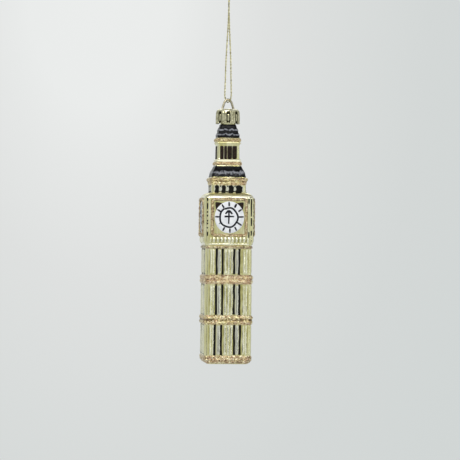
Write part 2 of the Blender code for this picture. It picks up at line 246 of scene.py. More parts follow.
def glass_material():
    """Gold lacquer with painted light: pale on the ribs and lit edges as painted highlight, olive in the
    hollows of the mould as painted shade, and grey in places as painted reflection.
    """
    made, tree, shader, coords = finish_of("mirror_glass", GLASS_ROUGHNESS, 1.0, 0.25)
    # painted shade and highlight from the rise attribute, over the lacquer's own streaks
    depth = scaled(tree, streaked(tree, coords, 1.1, 9.0), 0.9, value_of(tree, "rise"))
    tone = ramp(tree, scaled(tree, depth, 0.55, 0.0), (
        (0.14, (0.40, 0.35, 0.10)), (0.34, (0.63, 0.58, 0.25)), (0.52, (0.78, 0.74, 0.44)),
        (0.74, (0.96, 0.92, 0.70))))
    # painted reflection: grey mixed into the lacquer where convex glass would mirror the pale surroundings
    reflection_mix = node(tree, "ShaderNodeMix", data_type="RGBA")
    tree.links.new(value_of(tree, "grey_reflection"), reflection_mix.inputs["Factor"])
    tree.links.new(tone, reflection_mix.inputs["A"])
    reflection_mix.inputs["B"].default_value = (*REFLECTION_GREY, 1)
    tree.links.new(reflection_mix.outputs["Result"], shader.inputs["Base Color"])
    rough = scaled(tree, value_of(tree, "rubbed"), DULL_ROUGHNESS - GLASS_ROUGHNESS, GLASS_ROUGHNESS)
    tree.links.new(rough, shader.inputs["Roughness"])
    add_bump(tree, shader, streaked(tree, coords, 0.9, 5.0), 0.06, 0.5)
    return made


def paint_material(name, dark, light, roughness, size_mm, coat):
    made, tree, shader, coords = finish_of(name, roughness, 0.0, coat)
    tone = ramp(tree, noise_of(tree, coords, size_mm), ((0.35, dark), (0.7, light)))
    tree.links.new(tone, shader.inputs["Base Color"])
    add_bump(tree, shader, noise_of(tree, coords, size_mm * 0.6), 0.05, 0.6)
    return made


def low_gloss(material, level):
    """The same material with weaker highlights."""
    material.node_tree.nodes["Principled BSDF"].inputs["Specular IOR Level"].default_value = level
    return material


def roof_material():
    """Black enamel with a painted grey highlight along the crests of the tiles."""
    made, tree, shader, coords = finish_of("enamel_roof", 0.3, 0.0, 0.03)
    # the crests' painted grey highlight, broken up by noise
    broken = scaled(tree, value_of(tree, "crest"), 0.55, noise_of(tree, coords, 1.3))
    tone = ramp(tree, broken, (
        (0.7, (0.003, 0.003, 0.004)), (0.84, (0.045, 0.046, 0.054)), (0.98, (0.23, 0.235, 0.26))))
    tree.links.new(tone, shader.inputs["Base Color"])
    return low_gloss(made, 0.12)


def metal_material(name, dark, light, roughness, size_mm):
    made, tree, shader, coords = finish_of(name, roughness, 1.0)
    tone = ramp(tree, noise_of(tree, coords, size_mm), ((0.3, dark), (0.7, light)))
    tree.links.new(tone, shader.inputs["Base Color"])
    add_bump(tree, shader, noise_of(tree, coords, size_mm * 0.4), 0.03, 0.5)
    return made


# ---- mesh helpers ----------------------------------------------------------------------------

def piece(name, verts, faces, material, body, smooth=True, replaces=()):
    mesh = bpy.data.meshes.new(name)
    mesh.from_pydata([tuple(v) for v in verts], [], faces)
    mesh.validate()
    bm = bmesh.new()
    bm.from_mesh(mesh)
    bmesh.ops.recalc_face_normals(bm, faces=bm.faces)
    bm.to_mesh(mesh)
    bm.free()
    mesh.materials.append(material)
    if smooth:
        mesh.shade_smooth()
    obj = bpy.data.objects.new(name, mesh)
    bpy.context.scene.collection.objects.link(obj)
    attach(obj, body)
    if replaces:
        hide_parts(*replaces)
    return obj


def sheet_faces(rows, columns, ring=True):
    """Quads between closed rows of points; ring joins the last row to the first."""
    faces = []
    for i in range(rows if ring else rows - 1):
        a, b = i * columns, (i + 1) % rows * columns
        faces += [(a + j, a + (j + 1) % columns, b + (j + 1) % columns, b + j) for j in range(columns)]
    return faces


def joined(parts):
    """One (verts, faces) of several."""
    faces, start = [], 0
    for verts, part_faces in parts:
        faces += [tuple(n + start for n in face) for face in part_faces]
        start += len(verts)
    return np.concatenate([verts for verts, _ in parts]), faces


def closed_loft(rows):
    """(verts, faces) of rows of points, closed by one face at each end."""
    columns = len(rows[0])
    faces = sheet_faces(len(rows), columns, ring=False)
    faces.append(tuple(range(columns))[::-1])
    faces.append(tuple(range((len(rows) - 1) * columns, len(rows) * columns)))
    return np.concatenate(rows), faces


def smooth_route(points, step):
    """Points about a step apart along the smooth curve through the given ones."""
    points = [Vector(p) for p in points]
    ends = [2 * points[0] - points[1]] + points + [2 * points[-1] - points[-2]]
    made = []
    for before, start, end, after in zip(ends, ends[1:], ends[2:], ends[3:]):
        pieces = max(1, math.ceil((end - start).length / step))
        for i in range(pieces):
            t = i / pieces
            drift = (end - before) * t + (2 * before - 5 * start + 4 * end - after) * t * t
            bend = (3 * start - before - 3 * end + after) * t * t * t
            made.append(start + (drift + bend) / 2)
    return made + [points[-1]]


def twisted(points, strands, offset, radius, pitch, sides):
    """(verts, faces) of strands wound round a line of points, in mm."""
    points = np.array([tuple(p) for p in points])
    along = np.gradient(points, axis=0)
    along /= np.linalg.norm(along, axis=1)[:, None]
    side = np.cross(along[0], (0.3, 0.9, 0.1))
    sides_at = []
    for t in along:
        side = side - t * side.dot(t)
        side /= np.linalg.norm(side)
        sides_at.append(side)
    across = np.array(sides_at)
    up = np.cross(along, across)
    run = np.concatenate([[0], np.cumsum(np.linalg.norm(np.diff(points, axis=0), axis=1))])
    parts = []
    a = 2 * math.pi * np.arange(sides) / sides
    for k in range(strands):
        turn = 2 * math.pi * (run / pitch + k / strands)
        middle = points + offset * (np.cos(turn)[:, None] * across + np.sin(turn)[:, None] * up)
        rows = []
        for i in range(len(points)):
            rows.append(middle[i] + radius * (np.cos(a)[:, None] * across[i] + np.sin(a)[:, None] * up[i]))
        parts.append(closed_loft(rows))
    return joined(parts)


def to_metres(verts):
    return [place(*v) for v in verts]


def set_values(obj, name, rows):
    """A point attribute for materials, from rows of values in the order of the points."""
    obj.data.attributes.new(name, "FLOAT", "POINT").data.foreach_set("value", np.concatenate(rows))


def face_point(face, x, out, height):
    """The world point, or arrays of them, x across a face and out from the tower's axis."""
    c, s = math.cos(face * math.pi / 2), math.sin(face * math.pi / 2)
    return x * c + out * s, x * s - out * c, height


def ridge(distance, width):
    """1 at no distance, easing down to 0 over about two widths."""
    return np.exp(-((distance / width) ** 2))


# ---- the glass -------------------------------------------------------------------------------

FACE_COLUMNS = 73
CORNER_COLUMNS = 12
ROUND_POINTS = 4 * (FACE_COLUMNS + CORNER_COLUMNS)
MOULD_TOP = 134  # the neck above it is plain
STOREYS = ((5.2, 21.6), (27.5, 44.1), (50.2, 63.5))  # heights between which the shaft is ribbed
RIBS = (-9.9, -8.5, -5.0, -1.8, 0.0, 1.8, 5.0, 8.5, 9.9)  # x of the ribs
RIB_RISE, RIB_WIDTH, RIB_SINK = 0.42, 0.5, 0.12  # the glass between the ribs is sunk
BARS = (67.2, 70.6)  # heights of the row of upright bars at the foot of the clock house
BAR_RISE, BAR_SINK, BAR_PITCH = 0.6, 0.32, 2.1
BARS_HALF = 10.6  # how far the row reaches from a face's middle
LIP = (66.0, 67.0)  # heights of the ledge below the bars
LIP_RISE = 0.35
# Other moulded ridges: lowest and highest height, how softly they end, x of each, rise, width.
RIDGES = (
    (71.5, 92.0, 0.8, (-10.9, 10.9), 0.2, 0.4),
    (95.6, 99.3, 0.4, (-8.2, -4.4, -0.5, 3.6, 8.0), 0.2, 0.75),
    (114.4, 121.3, 0.4, (-2.6, -0.8, 2.0), 0.08, 0.4),
)
BELFRY = (95.4, 99.4)  # heights between which the glass is tinted grey as a painted reflection
LIT_EDGES = ((92.0, 93.9), (112.4, 114.0))  # heights of the edges painted pale, a painted highlight where they catch the lights
RUBBED = ((92.6, 95.6), (112.4, 114.0), (121.9, 123.9))  # heights between which it is rubbed dull
BLOWN = (3.5, 133)  # heights between which the glass is gently uneven

STRIPE_RUNS = ((4.7, 22.1), (27.0, 44.6), (49.3, 64.3))  # heights between which they are painted
STRIPES = (  # x of the four painted stripes on each storey, lowest storey first
    (-7.1, -3.6, 3.7, 6.9), (-6.6, -3.2, 3.4, 6.4), (-6.4, -3.1, 3.4, 6.2),
)
STRIPE_SHIFT = 0.3  # the stripes stand this far left of each face's middle
PAIR_MIDDLE = 5.1  # between the two stripes of a pair


def station(height):
    """The half width and the corner radius of the glass at a height."""
    heights, halves, corners = zip(*GLASS_OUTSIDE)
    return float(np.interp(height, heights, halves)), float(np.interp(height, heights, corners))


def between(h, low, high, soft=0.4):
    """1 from low to high and 0 outside them, eased over soft."""
    up = np.clip((h - low) / soft, 0, 1)
    down = np.clip((high - h) / soft, 0, 1)
    return (up * up * (3 - 2 * up)) * (down * down * (3 - 2 * down))


def in_spans(height, spans):
    """1 within any of the spans and 0 outside them all, with eased ends."""
    return float(sum(between(height, *span) for span in spans))


def relief(face, x, h):
    """How far the moulded glass stands out from its plain section, in mm."""
    ribs = sum(RIB_RISE * ridge(x - at, RIB_WIDTH) for at in RIBS)
    wander = 0.03 * np.sin(h * 0.9 + x * 1.3 + face) + 0.024 * np.sin(h * 2.1 - x + 2 * face)
    out = in_spans(h, STOREYS) * (ribs - RIB_SINK + wander)
    bars = BAR_RISE * np.abs(np.cos(x * math.pi / BAR_PITCH)) ** 0.7
    out = out + between(h, *BARS, 1.0) * (bars - BAR_SINK) * (np.abs(x) < BARS_HALF)
    out = out + between(h, *LIP, 0.3) * LIP_RISE
    for low, high, soft, middles, rise, width in RIDGES:
        out = out + between(h, low, high, soft) * rise * sum(ridge(x - at, width) for at in middles)
    blown = 0.05 * np.sin(x * 0.55 + h * 0.31 + face * 1.7)
    return out + blown * between(h, *BLOWN, 2.0)


def lacquer_light_round(half, corner, height):
    """Painted light in the lacquer at the points that outline() returns: from 0, painted shade, in the
    mould's hollows, to 1, painted highlight, on the ribs and lit edges; higher down each face's middle."""
    flat = half - corner
    x = np.linspace(-flat, flat, FACE_COLUMNS)
    # painted highlight on the edges that catch the lights
    edge = in_spans(height, LIT_EDGES)
    middle = 0.22 * ridge(x, 2.2)
    made = []
    for face in range(4):
        made.append(np.clip((relief(face, x, height) + 0.15) / 0.45 + edge + middle, 0, 1))
        made.append(np.full(CORNER_COLUMNS, 0.45 + 0.5 * edge))
    return np.concatenate(made)


def reflection_round(half, corner, height):
    """How much grey painted reflection tints the lacquer: between the paired stripes and in the belfry."""
    flat = half - corner
    x = np.linspace(-flat, flat, FACE_COLUMNS)
    strips = 0.8 * np.clip(2.2 - 1.6 * np.abs(np.abs(x + STRIPE_SHIFT) - PAIR_MIDDLE), 0, 1)
    flat_part = strips * in_spans(height, STOREYS) + 0.6 * in_spans(height, (BELFRY,))
    return np.tile(np.concatenate([flat_part, np.zeros(CORNER_COLUMNS)]), 4)


def outline(half, corner, height, lift=0.0, moulded=True):
    """World points, in mm, round a rounded square section of the glass, lifted off it by lift."""
    flat = half - corner
    made = []
    for face in range(4):
        x = np.linspace(-flat, flat, FACE_COLUMNS)
        fade = np.clip((flat - np.abs(x)) / 0.5, 0, 1)
        stand = half + lift + (relief(face, x, height) * fade if moulded else 0)
        t = np.linspace(0, math.pi / 2, CORNER_COLUMNS + 2)[1:-1]
        xs = np.concatenate([x, flat + (corner + lift) * np.sin(t)])
        outs = np.concatenate([stand * np.ones(FACE_COLUMNS), flat + (corner + lift) * np.cos(t)])
        made.append(np.stack(face_point(face, xs, outs, np.full(len(xs), height)), axis=1))
    return np.concatenate(made)


def on_glass(face, x, height, lift):
    """The world point, in mm, that lies x across a face and is lifted off the glass by lift."""
    half, corner = station(height)
    flat = half - corner
    if abs(x) <= flat:
        fade = min(1.0, (flat - abs(x)) / 0.5)
        return face_point(face, x, half + lift + float(relief(face, np.array(x), height)) * fade, height)
    t = math.asin(min(1.0, (abs(x) - flat) / corner))
    round_x = math.copysign(flat + (corner + lift) * math.sin(t), x)
    return face_point(face, round_x, flat + (corner + lift) * math.cos(t), height)


def glass_heights():
    """Heights of the glass's rows: where its section changes, and enough between for what is moulded."""
    spaced = np.concatenate([
        np.arange(0.0, 5.0, 0.4), np.arange(5.0, 66.0, 1.0), np.arange(66.0, 95.4, 0.5),
        np.arange(95.5, 134.5, 0.5), np.arange(135.0, 141.0, 1.5)])
    return sorted({height for height, _, _ in GLASS_OUTSIDE} | set(np.round(spaced, 3)))


def make_glass(material):
    """The blown tower, from its slightly hollow underside up and down into its open neck."""
    rows = [outline(2.0, 0.5, 0.35, moulded=False), outline(8.6, 1.4, 0.25, moulded=False)]
    rows += [outline(*station(h), h, moulded=h < MOULD_TOP) for h in glass_heights()]
    rows += [outline(half, corner, h, moulded=False) for h, half, corner in NECK_INSIDE]
    verts, faces = closed_loft(rows)
    tower = piece("tower_glass", to_metres(verts), faces, material, "tower",
                  replaces=("glass_body",))
    levels = [row[0][2] for row in rows]
    # painted shade and highlight for the lacquer's colour
    set_values(tower, "rise", [lacquer_light_round(*station(h), h) for h in levels])
    set_values(tower, "grey_reflection", [reflection_round(*station(h), h) for h in levels])
    set_values(tower, "rubbed", [np.full(len(rows[0]), in_spans(h, RUBBED)) for h in levels])


# ---- the glitter and the roof coats ----------------------------------------------------------

TRIM_SINK = -0.15  # the trims' backs lie this far inside the glass's surface
GRAIN_STEP = 0.2
# How dark the painted shade along a ring's middle, between its beads, is.
RING_GAP_SHADE = {
    "glitter_band_low": 1.1, "glitter_band_high": 0.5, "glitter_eaves_high": 0.6, "glitter_eaves_low": 0.5,
}
COAT_ROWS = 44
COAT_THICK = 0.12
CREST_RISE = 0.42


def grain(rng, shape, depth):
    """Random heights for glitter: coarse lumps of a few grains with single grains on them."""
    coarse = rng.normal(size=shape)
    for _ in range(3):
        coarse = (coarse + np.roll(coarse, 1, 0) + np.roll(coarse, 1, 1) + np.roll(coarse, -1, 1)) / 4
    return depth * (2.2 * coarse + 0.5 * rng.normal(size=shape))


def lifted(height, lifts):
    """A row of points round the glass, each lifted off its plain section by its own lift."""
    near, far = (outline(*station(height), height, lift, moulded=False) for lift in (0.0, 1.0))
    return near + (far - near) * np.reshape(lifts, (-1, 1))


def trim(name, node_name, heights, lifts, backs, attribute, values, material, smooth=True):
    """A ring round the glass. lifts and values have a row for each height; backs are the heights of the
    rows on its hidden side, where the point attribute is 0."""
    rows = [lifted(h, row) for h, row in zip(heights, lifts)] + [lifted(h, TRIM_SINK) for h in backs]
    made = piece(name, to_metres(np.concatenate(rows)), sheet_faces(len(rows), ROUND_POINTS), material,
                 "tower", smooth, replaces=(node_name,))
    set_values(made, attribute, [*values, *np.zeros((len(backs), ROUND_POINTS))])


def make_rings(glitters, champagne):
    """The rings of glitter; glitters names the materials of those that aren't champagne."""
    for number, (name, low, tall, section) in enumerate(GLITTER_RINGS):
        count = max(14, int(tall / GRAIN_STEP))
        shares = np.linspace(0, 1, count)
        heights = low + shares * tall
        rng = np.random.default_rng(number + 5)
        bumps = grain(rng, (count, ROUND_POINTS), 0.1)
        broken = np.clip(0.7 + 4.0 * grain(rng, (8, ROUND_POINTS), 0.12)[4], 0, 1.3)
        ends = np.minimum(1.0, 4 * np.minimum(shares, 1 - shares) + 0.15)
        lifts = np.interp(shares, *zip(*section))[:, None] + bumps * ends[:, None]
        # painted shade and light: a dark line along the gap between a ring's beads, and paler lumps of
        # grain
        gaps = RING_GAP_SHADE.get(name, 0.0) * ridge(shares - 0.5, 0.11)
        bead_shading = 0.9 - gaps[:, None] * broken + 1.2 * bumps
        trim(name + "_grain", name, heights, lifts, heights[::-1][::max(1, count // 5)], "crown", bead_shading,
             glitters.get(name, champagne), smooth=False)


def make_coats(material):
    """Black enamel over the scalloped tiles of the roofs."""
    for name, low, high, tile, courses, spread, crest_sheen in ROOF_COATS:
        heights = np.linspace(low, high, COAT_ROWS)
        lifts, crests = [], []
        for h in heights:
            half, corner = station(h)
            flat = half - corner
            side = np.concatenate([np.linspace(-flat, flat, FACE_COLUMNS), np.full(CORNER_COLUMNS, flat)])
            wave = 0.8 * np.abs(np.cos(math.pi * np.tile(side, 4) / tile)) ** 0.7
            crest = sum(ridge(h + wave - course, spread) for course in courses)
            ends = min(1.0, (h - low) / 0.4, (high - h) / 0.4)
            lifts.append(COAT_THICK + (COAT_THICK + CREST_RISE * crest) * ends)
            # painted highlight: grey painted into the enamel along each crest
            crests.append(crest * ends * crest_sheen)
        trim(name + "_tiles", name, heights, lifts, heights[::-1][::6], "crest", crests, material)


# ---- painted strokes -------------------------------------------------------------------------

STROKE_SINK = -0.12  # a stroke's foot lies this far inside the surface
STROKE_EDGE = 0.02  # and its edge stands this far off it
HOUSE_LINES = (  # the broken lines: x, and the heights where each of their strokes starts and ends
    (-12.2, ((92.2, 90.5), (89.2, 86.0), (84.8, 83.9), (82.9, 81.8), (80.0, 79.0), (78.5, 77.5),
             (76.0, 75.2), (73.4, 71.1))),
    (10.9, ((92.1, 89.0), (73.4, 70.3))),
    (12.3, ((91.8, 82.0), (81.2, 76.7), (74.2, 71.4))),
)
BELFRY_WINDOWS = ((-6.65, 1.3), (-2.85, 1.3), (1.3, 1.6), (5.8, 2.1))  # x, half width
WINDOW_LINE = (  # of a belfry window: (x from its middle, height)
    (0.2, 99.5), (0.0, 98.6), (0.1, 97.2), (-0.1, 95.9), (0.1, 95.4), (0.1, 95.05),
)
BELFRY_DROPS = (-4.8, -0.75, 3.3)  # x of the short strokes between the windows
BELFRY_SILL = ((-6.9, 96.0), (-2.0, 95.8), (2.5, 95.9), (7.0, 96.0))
LANTERN_PANES = ((-3.75, 1.0), (-1.7, 0.8), (0.62, 1.3), (3.35, 1.28))  # x, half width
LEFT_SHARE = 0.4  # windows and panes on the left face have this share of the others' width


def stroke(points, halves, surface, thick=0.16, steps=1.0):
    """(verts, faces) of a domed brush stroke: points (x, height) with half widths, laid by
    surface(x, height, lift)."""
    route = smooth_route([(x, h, w) for (x, h), w in zip(points, halves)], steps)
    line = np.array([tuple(p) for p in route])
    along = np.gradient(line[:, :2], axis=0)
    along /= np.maximum(np.linalg.norm(along, axis=1), 1e-6)[:, None]
    across = np.stack([-along[:, 1], along[:, 0]], axis=1)
    section = ((-1, STROKE_SINK), (-1, STROKE_EDGE), (-0.6, thick * 0.75), (0, thick), (0.6, thick * 0.75),
               (1, STROKE_EDGE), (1, STROKE_SINK))
    rows = []
    for (x, h, w), (ax, ah) in zip(line, across):
        w = max(w, 0.05)
        rows.append(np.array([surface(x + ax * w * s, h + ah * w * s, lift) for s, lift in section]))
    return closed_loft(rows)


def strokes_piece(name, strokes, material):
    verts, faces = joined(strokes)
    piece(name, to_metres(verts), faces, material, "tower")


def window_stripes(hand, lay):
    """The shaft's four stripes on each storey."""
    made = []
    for (low, high), xs in zip(STRIPE_RUNS, STRIPES):
        for x in xs:
            heights = np.linspace(high, low + hand.uniform(0.0, 0.7), 6)
            points = [(x - STRIPE_SHIFT + hand.uniform(-0.11, 0.11), h) for h in heights]
            halves = [0.68, *(hand.uniform(0.52, 0.66) for _ in heights[1:-1]), 0.72]
            made.append(stroke(points, halves, lay))
    return made


def house_lines(side, hand, lay):
    made = []
    for x, runs in HOUSE_LINES:
        if side == "left" and x > 0:
            continue
        for top, bottom in runs:
            points = [(x, top), (x + hand.uniform(-0.1, 0.1), (top + bottom) / 2), (x, bottom)]
            made.append(stroke(points, (0.38, hand.uniform(0.34, 0.5), 0.3), lay))
    return made


def belfry_windows(share, hand, lay):
    made = []
    for x, half in BELFRY_WINDOWS:
        w = half * share
        halves = (0.25, w * 0.95, w * hand.uniform(0.7, 0.85), w, w * 0.8, 0.4)
        made.append(stroke([(x + off, h) for off, h in WINDOW_LINE], halves, lay, steps=0.5))
    for x in BELFRY_DROPS:
        made.append(stroke(((x, 99.3), (x + 0.1, 98.9), (x, 98.4)), (0.5, 0.42, 0.2), lay, steps=0.3))
    made.append(stroke(BELFRY_SILL, (0.2, 0.34, 0.34, 0.25), lay))
    return made


def lantern_panes(share, lay):
    made = []
    for x, half in LANTERN_PANES:
        w = half * share
        made.append(stroke(((x, 121.3), (x, 118.0), (x, 114.1)), (w, w * 1.03, w), lay, thick=0.2))
    return made


def make_paint(material, brown):
    """The strokes on each face: window stripes, the house's lines, belfry windows and lantern panes."""
    for face, side in enumerate(FACES):
        hand = random.Random(face + 3)
        lay = functools.partial(on_glass, face)
        share = LEFT_SHARE if side == "left" else 1.0
        strokes_piece("lantern_panes_" + side, lantern_panes(share, lay), brown)
        strokes = window_stripes(hand, lay) + house_lines(side, hand, lay)
        strokes += belfry_windows(share, hand, lay)
        strokes_piece("paint_" + side, strokes, material)


# ---- the clock house's dials -----------------------------------------------------------------

# (share of the radius, how far the dial stands off the house)
DIAL_DOME = ((0.0, 0.8), (0.6, 0.75), (0.93, 0.6), (1.0, 0.4))
DIAL_ROWS = (  # (share of the radius, lift off the dome), from the middle out and down the rim
    (0.04, 0), (0.2, 0), (0.4, 0), (0.6, 0), (0.8, 0), (0.93, 0), (0.985, 0), (1.0, 0), (1.0, -0.42),
)
DIAL_COLUMNS = 96
INK_THICK = 0.1
INK_RING = (-0.4, -0.1, 5.0, 5.3)  # x and z of its middle, half width, half height
RING_STEPS = 40
RING_START = math.radians(118)  # where the brush starts and ends the ring
HANDS = (  # the crossed hands and the upright one's barbs: (x, z) points, half widths, step
    (((-0.4, 3.8), (-1.2, 3.1), (-2.3, 1.9)), (0.5, 0.56, 0.4), 0.4),
    (((-0.4, 3.8), (0.6, 2.9), (1.5, 1.8)), (0.5, 0.54, 0.4), 0.4),
    (((-0.4, 3.6), (-0.35, 0.4), (-0.45, -3.6)), (0.44, 0.46, 0.38), 0.6),
    (((-2.8, 0.4), (-0.7, 0.5), (2.5, 0.45)), (0.52, 0.5, 0.36), 0.6),
)
HOUR_STROKE = (0.7, 0.97, 0.48)  # shares of the radius where it starts and ends, half width
ODD_HOURS = {1: (0.7, 0.97, 0.6), 3: (0.62, 0.97, 0.48), 4: (0.62, 0.97, 0.48), 8: (0.7, 0.82, 0.24)}
CORNER_SPANS = ((28, 60), (120, 152))  # angles of the dark corners between a dial and its frame
CORNER_STEPS = 12
FRAME_CORNER = 1.4
FRAME_ARC_POINTS = 6
FRAME_STEP = 0.22
# A frame's section: (share of the bar's half width, how far it stands off the house, share of the grain).
# It goes over the bead in ten steps and back along its hidden side in four.
FRAME_SECTION = [(math.cos(math.pi * i / 9), 0.05 + 0.85 * math.sin(math.pi * i / 9), 1) for i in range(10)]
FRAME_SECTION += [(share, -0.1, 0) for share in (-0.6, -0.2, 0.2, 0.6)]


def on_dial(face, x, z, lift):
    """The world point, in mm, that lies x, z from a dial's middle and is lifted off its dome by lift."""
    share = math.hypot(x / DIAL_HALF[0], z / DIAL_HALF[1])
    stand = float(np.interp(share, *zip(*DIAL_DOME)))
    return face_point(face, x, HOUSE_HALF + stand + lift, DIAL_HEIGHT + z)


def on_ellipse(share, angle):
    """(x, z) from a dial's middle, at an angle and a share of its radius."""
    return DIAL_HALF[0] * share * math.cos(angle), DIAL_HALF[1] * share * math.sin(angle)


def make_dial(face, side, material):
    angles = 2 * math.pi * np.arange(DIAL_COLUMNS) / DIAL_COLUMNS
    rows = []
    for share, lift in DIAL_ROWS:
        rows.append(np.array([on_dial(face, *on_ellipse(share, a), lift) for a in angles]))
    verts, faces = closed_loft(rows)
    piece("dial_enamel_" + side, to_metres(verts), faces, material, "tower",
          replaces=("dial_" + side,))


def dial_ink(face):
    """(verts, faces) of each of a dial's strokes: its ring, its hands and its twelve hours."""
    lay = functools.partial(on_dial, face)
    hand = random.Random(face + 20)
    x, z, half_x, half_z = INK_RING
    ring = []
    for step in range(RING_STEPS + 1):
        a = RING_START + 2 * math.pi * step / RING_STEPS
        start = step % RING_STEPS
        bulge = 1 + 0.025 * math.cos(5 * a + face) + 0.05 * math.exp(-(start / 2.0) ** 2)
        ring.append((x + half_x * bulge * math.cos(a), z + half_z * bulge * math.sin(a)))
    marks = [stroke(ring, [0.5] * len(ring), lay, INK_THICK, 0.6)]
    marks += [stroke(points, halves, lay, INK_THICK, step) for points, halves, step in HANDS]
    for hour in range(12):
        a = math.pi / 2 - hour * math.pi / 6 + hand.uniform(-0.05, 0.05)
        inner, outer, half = ODD_HOURS.get(hour, HOUR_STROKE)
        points = [on_ellipse(share, a) for share in (inner, (inner + outer) / 2, outer)]
        marks.append(stroke(points, (half * 0.8, half, half * 0.7), lay, INK_THICK, 0.4))
    return marks


def dial_corner(face, start, end):
    """(verts, faces) of the enamel between a dial's edge and its frame's corner, between two angles."""
    rows = []
    for step in range(CORNER_STEPS + 1):
        share = step / CORNER_STEPS
        x, z = on_ellipse(1.005, math.radians(start + (end - start) * share))
        box = min((FRAME_MIDDLE[0] - 0.85) / abs(x), (FRAME_MIDDLE[1] - 0.85) / abs(z)) - 1
        reach = 1.01 + box * 0.72 * math.sin(math.pi * (0.03 + 0.94 * share)) ** 0.8
        section = ((1, -0.05), (1, 0.12), ((1 + reach) / 2, 0.2), (reach, 0.12), (reach, -0.05))
        rows.append(np.array([on_glass(face, x * r, DIAL_HEIGHT + z * r, lift) for r, lift in section]))
    return closed_loft(rows)


def frame_line():
    """(x, z) from the dial's middle of closely spaced points round the middle of a frame's bar."""
    hx, hz = FRAME_MIDDLE[0] - FRAME_CORNER, FRAME_MIDDLE[1] - FRAME_CORNER
    line = []
    for cx, cz, first in ((hx, hz, 0), (-hx, hz, 90), (-hx, -hz, 180), (hx, -hz, 270)):
        for step in range(FRAME_ARC_POINTS):
            a = math.radians(first + 90 * step / (FRAME_ARC_POINTS - 1))
            line.append((cx + FRAME_CORNER * math.cos(a), cz + FRAME_CORNER * math.sin(a)))
    dense = []
    for (ax, az), (bx, bz) in zip(line, line[1:] + line[:1]):
        count = max(1, int(math.hypot(bx - ax, bz - az) / FRAME_STEP))
        dense += [(ax + (bx - ax) * i / count, az + (bz - az) * i / count) for i in range(count)]
    return np.array(dense)


def make_frame(face, side, material):
    """A square bead of glitter round the dial."""
    line = frame_line()
    along = np.roll(line, -1, 0) - np.roll(line, 1, 0)
    along /= np.linalg.norm(along, axis=1)[:, None]
    outward = np.stack([along[:, 1], -along[:, 0]], axis=1)
    bumps = grain(np.random.default_rng(40 + face), (len(FRAME_SECTION), len(line)), 0.12)
    rows, bead_shading = [], []
    for (share, stand, grainy), bump in zip(FRAME_SECTION, bumps):
        x, z = (line + outward * FRAME_BAR * share).T
        out = HOUSE_HALF + stand + bump * grainy
        rows.append(np.stack(face_point(face, x, out, DIAL_HEIGHT + z), axis=1))
        # painted shade and light: darker low on the bead, paler on its top and on the lumps of grain
        bead_shading.append(0.2 + 0.55 * stand + 1.2 * bump)
    verts, faces = np.concatenate(rows), sheet_faces(len(rows), len(line))
    made = piece("dial_frame_grain_" + side, to_metres(verts), faces, material, "tower",
                 smooth=False, replaces=("dial_frame_" + side,))
    set_values(made, "crown", bead_shading)


def make_dials(white, ink, glitter, brown):
    for face, side in enumerate(FACES):
        make_dial(face, side, white)
        strokes_piece("dial_ink_" + side, dial_ink(face), ink)
        strokes_piece("house_corners_" + side, [dial_corner(face, *span) for span in CORNER_SPANS], brown)
        make_frame(face, side, glitter)


# ---- the cap, the wire and the cord ----------------------------------------------------------

CAP_LOBES = 8
CAP_TURN = math.radians(-3.0)
CAP_COLUMNS = 320
CAP_INSIDE = ((134.1, 5.75), (139.8, 5.7), (140.9, 5.5), (141.4, 4.6))  # (height, radius)
CAP_OUTSIDE = ((134.1, 6.85), (135.0, 6.8), (140.0, 6.7), (141.2, 6.3), (141.9, 5.5), (142.2, 4.3))
CAP_SKIRT = 6.7  # the skirt's radius
CAP_OVAL = (0.85, 2.75, 137.2)  # half width, half height and middle of the ring pressed into each lobe
OVAL_HALF = 1.45  # the fine flutes stop this far from the middle of a lobe
CAP_SLOT = (8.2, 1.9, 4.0)  # length, width and depth of the cut
SLOT_MIDDLE = 142.0
CAP_MIDDLE = 0.3  # radius of the small faces that close the cap's top
RIM_HEIGHT = 141.0  # the cap's turned edge carries a painted highlight above it


def lobe_angle(angle):
    """The angle from the middle of the nearest lobe of the cap."""
    lobe = 2 * math.pi / CAP_LOBES
    return (angle - CAP_TURN + lobe / 2) % lobe - lobe / 2


def oval_share(angle, height):
    """1 on the line of a lobe's pressed ring, less inside it and more outside."""
    across = CAP_SKIRT * lobe_angle(angle) / CAP_OVAL[0]
    return (across ** 4 + ((height - CAP_OVAL[2]) / CAP_OVAL[1]) ** 4) ** 0.25


def cap_row(radius, height, pressed=False):
    """A row of points round the cap, scalloped low on the skirt; pressed adds the ovals and the flutes."""
    angle = 2 * math.pi * np.arange(CAP_COLUMNS) / CAP_COLUMNS
    lobes = CAP_LOBES * (angle - CAP_TURN)
    lip = 0.45 * np.cos(lobes) * float(np.clip((136.0 - height) / 2.4, 0, 1))
    r = np.full(CAP_COLUMNS, float(radius))
    if pressed:
        skirt = float(np.clip((140.9 - height) / 0.5, 0, 1))
        fluted = np.abs(CAP_SKIRT * lobe_angle(angle)) > OVAL_HALF
        r = r - 0.62 * skirt * ridge(oval_share(angle, height) - 1.0, 0.26)
        r = r - 0.09 * skirt * (1 - np.cos(3 * lobes)) * fluted
    return np.stack([r * np.sin(angle), -r * np.cos(angle), height + lip], axis=1)


